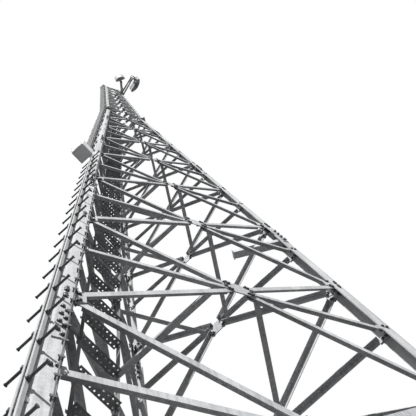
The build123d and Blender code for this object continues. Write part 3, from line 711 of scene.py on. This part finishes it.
for near in (LADDER_NEAR, LADDER_FAR - LADDER_WALL):
    ring = np.array([(near, -STRINGER_HALF), (near + LADDER_WALL, -STRINGER_HALF),
                     (near + LADDER_WALL, STRINGER_HALF), (near, STRINGER_HALF)])
    both = on_leg("a", np.array([LADDER_LOW, LADDER_TOP])[:, None], ring[None, :, 0], ring[None, :, 1])
    side_walls = np.array([[k, (k + 1) % 4, (k + 1) % 4 + 4, k + 4] for k in range(4)])
    shapes.append((both.reshape(-1, 3), [side_walls, np.array([[3, 2, 1, 0], [4, 5, 6, 7]])]))
end_plate = block((0.004, 0.060, 2 * ARM_TALL), (LADDER_NEAR - 0.002, 0, ARM_TALL / 2))
for z in member_z[::ARM_EVERY]:
    heel = heel_at(z) + ARM_CLEARANCE * math.sqrt(2)
    reach = LADDER_NEAR - heel
    arm = block((reach, ARM_WIDE, ARM_TALL), (heel + reach / 2, 0, ARM_TALL / 2))
    shapes.append(copies(joined(arm, end_plate), on_leg("a", z), leg_frame))
points, faces = joined(*shapes)
ladder = make_piece("perforated_ladder", points, faces, ladder_zinc)
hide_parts("cable_ladder")

# %% [markdown]
# ## Feeder cables and their cabinet
# Four thick feeders leave the cabinet and run up the outside of the leg. Between two hangers each
# one wanders by a few millimetres, because it came off a drum. Slim power and fibre lines fill
# the space next to the leg, and a saddle holds every line at every hanger.

# %% Feeders, slim lines and saddles
CABLE_OUT, CABLE_FIRST, CABLE_PITCH, CABLE_RADIUS = 0.060, 0.044, 0.052, 0.022
CABINET_LOW, CABINET_TALL = 14.900, 0.500
CABINET_OUT, CABINET_ASIDE, CABINET_SIZE = 0.135, 0.100, 0.250
TOP_BOX_LOW = TOP_HEIGHT - 0.240
HANGER_PITCH = 1.450
SWAY, STRAP_TALL = 0.003, 0.034
SLIM_LINES = [(0.040, 0.004, 0.013), (0.018, -0.010, 0.009), (0.028, 0.026, 0.009), (0.062, -0.012, 0.008)]
cable_low = CABINET_LOW + CABINET_TALL
rng = np.random.default_rng(4)
steps = np.arange(cable_low, TOP_BOX_LOW, HANGER_PITCH / 10)
path_z = np.unique(np.concatenate([steps, [KINK_HEIGHT, TOP_BOX_LOW]]))
loop = np.sin(np.pi * (path_z - cable_low) / HANGER_PITCH) ** 2
shapes = []
for number in range(4):
    sway = loop * rng.uniform(-SWAY, SWAY) * np.sin(path_z * rng.uniform(0.7, 1.4))
    path = on_leg("a", path_z, -CABLE_OUT + sway, CABLE_FIRST + number * CABLE_PITCH + sway)
    shapes.append(swept(path, 12, CABLE_RADIUS))
points, faces = joined(*shapes)
cables = make_piece("round_feeders", points, faces, jacket, smooth=True)
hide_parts("feeder_cables")

shapes = []
for out, aside, radius in SLIM_LINES:
    shapes.append(swept(on_leg("a", path_z, -out, aside), 8, radius))
points, faces = joined(*shapes)
make_piece("slim_lines", points, faces, jacket, smooth=True)

hanger_count = int((TOP_BOX_LOW - cable_low - HANGER_PITCH) / HANGER_PITCH) + 1
hanger_z = cable_low + HANGER_PITCH * (np.arange(hanger_count) + 0.5) + 0.025
saddle = joined(
    block((0.004, 0.048, STRAP_TALL), (-0.026, 0, 0)),
    block((0.048, 0.003, STRAP_TALL), (-0.002, 0.0245, 0)),
    block((0.048, 0.003, STRAP_TALL), (-0.002, -0.0245, 0)),
    prism(6, 0.007, -0.006, 0.006),
)
cable_rows = CABLE_FIRST + CABLE_PITCH * np.arange(4)
saddle_places = np.vstack([on_leg("a", hanger_z, -CABLE_OUT, aside) for aside in cable_rows])
slim_saddle = block((0.062, 0.062, 0.020), (-0.002, 0.002, 0))
parts = [copies(saddle, saddle_places, leg_frame),
         copies(slim_saddle, on_leg("a", hanger_z, -0.036, 0.002), leg_frame)]
points, faces = joined(*parts)
make_piece("cable_saddles", points, faces, rail_zinc)

# %% [markdown]
# The cabinet is folded sheet: a door on its outer side with a seam all round, two hinges and a
# turning latch, vents under a small rain lip, and a sealing gland for each feeder on its top.

# %% Cabinet door, hinges, latch and glands
DOOR_GAP, DOOR_WALL = 0.030, 0.004
HINGE_SPREAD, VENT_PITCH, SHEET = 0.140, 0.014, 0.0015
FLOOR_GAP, FLOOR_WALL = 0.040, 0.003
outer = -CABINET_OUT - CABINET_SIZE / 2
door_z = CABINET_TALL / 2
half = CABINET_SIZE / 2
parts = [
    block((DOOR_WALL, CABINET_SIZE - DOOR_GAP, CABINET_TALL - DOOR_GAP),
          (outer - DOOR_WALL / 2, CABINET_ASIDE, door_z)),
    block((0.012, 0.020, 0.050), (outer - 0.007, CABINET_ASIDE + half - 0.012, door_z + HINGE_SPREAD)),
    block((0.012, 0.020, 0.050), (outer - 0.007, CABINET_ASIDE + half - 0.012, door_z - HINGE_SPREAD)),
    block((0.010, 0.018, 0.060), (outer - 0.008, CABINET_ASIDE - half + 0.040, door_z)),
]
for row in range(5):
    parts.append(block((0.003, 0.100, 0.006), (outer - 0.005, CABINET_ASIDE, 0.060 + row * VENT_PITCH)))
for edge in (-1, 1):
    parts.append(block((CABINET_SIZE - DOOR_GAP, SHEET, 0.012),
                       (-CABINET_OUT, CABINET_ASIDE + edge * (half + 0.0005), CABINET_TALL - 0.014)))
parts.append(block((CABINET_SIZE - FLOOR_GAP, CABINET_SIZE - FLOOR_GAP, FLOOR_WALL),
                   (-CABINET_OUT, CABINET_ASIDE, -0.0012)))
points, faces = copies(joined(*parts), on_leg("a", CABINET_LOW), leg_frame)
make_piece("cabinet_fittings", points, faces, cabinet_coat)

gland = joined(prism(6, 0.031, 0.0, 0.014), prism(12, 0.027, 0.014, 0.034, 0.0235))
gland_places = on_leg("a", cable_low, -CABLE_OUT, cable_rows)
points, faces = copies(gland, gland_places, leg_frame)
make_piece("cable_glands", points, faces, rubber)

# %% [markdown]
# ## Earth line, stub bracket and welds
# An earth line runs up the climbing leg's face, held off it by evenly spaced clips. A spare
# bracket for a dish stands inside the second leg. Each foot is welded to its plate all round.

# %% Earth line, bracket and foot welds
HALF_CORNER = math.radians(30)


def off_face(leg, z, along, lift, sign=-1):
    """Points lifted off a leg's flange: sign -1 is its right flange, seen from outside, 1 its left."""
    cos, sin = math.cos(HALF_CORNER), math.sin(HALF_CORNER)
    return on_leg(leg, z, along * cos - lift * sin, sign * (along * sin + lift * cos))


LINE_LOW, LINE_HIGH, LINE_STEP = 0.036, 27.000, 0.090
LINE_LIFT, LINE_RADIUS, CLIP_EVERY = 0.022, 0.006, 3
line_z = np.arange(LINE_LOW, LINE_HIGH, LINE_STEP)
line_along = np.interp(line_z, [STEP_DOWN - 0.160, STEP_DOWN], [0.165, 0.137])
line = swept(off_face("a", line_z, line_along, LINE_LIFT), 8, LINE_RADIUS)
clip_z = line_z[CLIP_EVERY::CLIP_EVERY]
clip = joined(
    block((0.030, LINE_LIFT, 0.018), (0, LINE_LIFT / 2, 0)),
    block((0.044, 0.004, 0.026), (0, LINE_LIFT + LINE_RADIUS, 0)),
    prism(6, 0.007, 0.013, 0.018),
)
face_axes = np.array([[1.0, 0, 0], [0, -1.0, 0], [0, 0, 1.0]])
clips = copies(clip, off_face("a", clip_z, line_along[CLIP_EVERY::CLIP_EVERY], 0.0), face_axes)
lug = copies(joined(block((0.026, 0.030, 0.008)), prism(6, 0.010, 0.0, 0.012)),
             off_face("a", PLATE_TOP + 0.004, line_along[0], LINE_LIFT), np.eye(3))
points, faces = joined(line, clips, lug)
make_piece("earth_line", points, faces, bolt_zinc)

BRACKET_Z, BRACKET_NEAR, BRACKET_LONG, BRACKET_WIDE = 12.000, 0.040, 0.780, 0.100
bracket = joined(
    block((BRACKET_LONG, BRACKET_WIDE, BRACKET_WIDE), (BRACKET_NEAR + BRACKET_LONG / 2, 0, 0)),
    block((0.008, 0.130, 0.130), (BRACKET_NEAR + BRACKET_LONG, 0, 0)),
    block((0.060, 0.060, 0.200), (BRACKET_NEAR + 0.030, 0, 0)),
)
points, faces = copies(bracket, on_leg("b", BRACKET_Z), leg_axes("b"))
make_piece("dish_bracket", points, faces, bracing_zinc)

shapes = []
BEND_SHARE, WELD_RADIUS = 0.28, 0.007
foot_flange = ZONES["base"]["flange"]
knee = BEND_SHARE * foot_flange * math.sqrt(2)
weld_z = PLATE_TOP + 0.002
for leg in LEGS:
    stretch = np.array([foot_flange, 0.120, knee, knee - 0.008])
    left_foot = off_face(leg, weld_z, stretch, 0.001, 1)
    right_foot = off_face(leg, weld_z, stretch, 0.001, -1)
    outline = np.vstack([left_foot, on_leg(leg, weld_z, heel_at(weld_z))[None, :], right_foot[::-1]])
    shapes.append(swept(outline, 8, WELD_RADIUS))
points, faces = joined(*shapes)
make_piece("foot_welds", points, faces, plate_zinc, smooth=True)

# %% [markdown]
# ## Antenna plugs and jumper cables
# Each panel is fed from below through four plugs. Short jumper cables run from the top box along
# the head, hang a little between their ends, and rise into the plugs. A smooth curve through a
# few chosen points is made of cubic pieces. Its slope at a point is half the step between the
# point's two neighbours, so it needs no handles. Each panel's row gives its leg and height, the
# arm's angle and length, the angle that the panel faces, its depth, its stand-off from the pipe
# and its shift to one side.

# %% Plugs and jumpers
ANTENNAS = [
    ("front", "b", 37.900, 243, 0.468, 232, 0.160, 0.110, 0.0),
    ("right", "b", 37.350, 282, 0.798, 14, 0.170, 0.194, 0.211),
    ("rear", "d", 37.200, 90, 0.420, 90, 0.160, 0.110, 0.0),
]
ARM_BLOCK, PANEL_HALF = 0.055, 0.750
JUMPER_RADIUS, JUMPER_SAG, JUMPER_GAP, BOX_PITCH = 0.0075, 0.090, 0.036, 0.040
PLUG_SPREAD = np.array([-0.105, -0.035, 0.035, 0.105])


def curve(knots, steps=12):
    """Cubic from each knot to the next; the slope at a knot is half the step between its neighbours."""
    knots = np.asarray(knots, float)
    padded = np.vstack([2 * knots[0] - knots[1], knots, 2 * knots[-1] - knots[-2]])
    t = np.linspace(0, 1, steps, endpoint=False)[:, None]
    pieces = []
    for before, start, end, beyond in zip(padded, padded[1:], padded[2:], padded[3:]):
        square_term = 2 * before - 5 * start + 4 * end - beyond
        cube_term = 3 * start - before - 3 * end + beyond
        pieces.append(0.5 * (2 * start + (end - before) * t + square_term * t**2 + cube_term * t**3))
    return np.vstack(pieces + [knots[-1:]])


plug = joined(
    prism(8, 0.011, -0.030, 0.0),
    prism(6, 0.014, -0.042, -0.022),
    prism(8, 0.008, -0.060, -0.042),
)
plugs, jumpers = [], []
for number, (name, leg, z, arm_angle, arm_length, facing, depth, stand_off, shift) in enumerate(ANTENNAS):
    pipe = on_leg(leg, z, -ARM_BLOCK) + plan(arm_angle) * arm_length
    under = pipe + plan(facing) * (stand_off + depth * 0.5) + plan(facing + 90) * shift - UP * PANEL_HALF
    spots = under + PLUG_SPREAD[:, None] * plan(facing + 90)
    plugs.append(copies(plug, spots, np.eye(3)))
    for order, spot in enumerate(spots[1:3]):
        sideways = JUMPER_GAP * (order * 2 - 1) / 2 + 0.010 * number
        box_aside = CABLE_FIRST + BOX_PITCH * (number + order)
        box = on_leg("a", TOP_BOX_LOW + 0.010, -CABLE_OUT - 0.020 * order, box_aside)
        leg_top = on_leg(leg, TOP_BOX_LOW - 0.140 - 0.03 * number, -0.030, sideways)
        halfway = (box + leg_top) / 2 - UP * JUMPER_SAG
        near_pipe = pipe + plan(facing) * 0.045 + plan(facing + 90) * sideways
        high = near_pipe + UP * 0.250
        low = near_pipe - UP * (PANEL_HALF + 0.020)
        knots = [box, halfway, leg_top, high, near_pipe, low, spot - UP * 0.170, spot - UP * 0.050]
        jumpers.append(swept(curve(knots), 8, JUMPER_RADIUS))
points, faces = joined(*plugs)
make_piece("antenna_plugs", points, faces, bolt_zinc)
points, faces = joined(*jumpers)
make_piece("jumper_cables", points, faces, rubber, smooth=True)

# %% [markdown]
# Each shell is closed by a cap at both ends. The cap follows the shell's outline, flat behind and
# an arc in front, a little larger all round. With half width h, side depth s and full depth d,
# the arc's centre lies at (d^2 - s^2 - h^2) / (2 (d - s)) in front of the back.

# %% Antenna caps
WIDTHS = {"front": 0.420, "right": 0.650, "rear": 0.420}
CAP_TALL, CAP_GROW, BACK_EDGE = 0.028, 1.014, 0.025
CAP_BEYOND, SIDE_SHARE = 0.004, 0.35
caps = []
for name, leg, z, arm_angle, arm_length, facing, depth, stand_off, shift in ANTENNAS:
    half_width, straight = WIDTHS[name] / 2, depth * SIDE_SHARE
    centre_x = (depth**2 - straight**2 - half_width**2) / (2 * (depth - straight))
    radius = depth - centre_x
    reach = math.atan2(half_width, straight - centre_x)
    sweep_angle = np.linspace(-reach, reach, 20)
    front_arc = np.column_stack([centre_x + radius * np.cos(sweep_angle), radius * np.sin(sweep_angle)])
    outline = np.vstack([front_arc, [(0, half_width - BACK_EDGE), (0, BACK_EDGE - half_width)]])
    middle = np.array([depth * 0.45, 0.0])
    outline = middle + (outline - middle) * CAP_GROW
    count = len(outline)
    k = np.arange(count)
    foot = on_leg(leg, z, -ARM_BLOCK) + plan(arm_angle) * arm_length
    foot = foot + plan(facing) * stand_off + plan(facing + 90) * shift
    for low in (-PANEL_HALF - CAP_BEYOND, PANEL_HALF + CAP_BEYOND - CAP_TALL):
        flat = foot + outline[:, :1] * plan(facing) + outline[:, 1:] * plan(facing + 90)
        both = np.vstack([flat + UP * low, flat + UP * (low + CAP_TALL)])
        walls = np.column_stack([k, (k + 1) % count, (k + 1) % count + count, k + count])
        caps.append((both, [walls, k[::-1][None, :], (k + count)[None, :]]))
points, faces = joined(*caps)
make_piece("antenna_caps", points, faces, cap_plastic)

# %% [markdown]
# ## The floor
# A plain pale slab shows where the tower stands. It throws only a little light back up, as dull
# ground does, so the undersides stay dark.

# %% Floor
FLOOR_HALF = 40.0
floor_mesh = bpy.data.meshes.new("floor")
floor_mesh.from_pydata([(AXIS[0] + x * FLOOR_HALF, AXIS[1] + y * FLOOR_HALF, 0.0)
                        for x, y in ((-1, -1), (1, -1), (1, 1), (-1, 1))], [], [(0, 1, 2, 3)])
floor = bpy.data.objects.new("floor", floor_mesh)
bpy.context.scene.collection.objects.link(floor)
floor_coat = bpy.data.materials.new("pale floor")
floor_coat.use_nodes = True
floor_tree = floor_coat.node_tree
seen_floor = add(floor_tree, "ShaderNodeLightPath").outputs["Is Camera Ray"]
floor_tone = add(floor_tree, "ShaderNodeMix", {"data_type": "RGBA"}, _0=seen_floor,
                 _6=linear("#4A4A4A"), _7=linear("#E9E9E7")).outputs[2]
floor_shader = floor_tree.nodes["Principled BSDF"]
floor_shader.inputs["Roughness"].default_value = 0.9
floor_tree.links.new(floor_tone, floor_shader.inputs["Base Color"])
floor_mesh.materials.append(floor_coat)
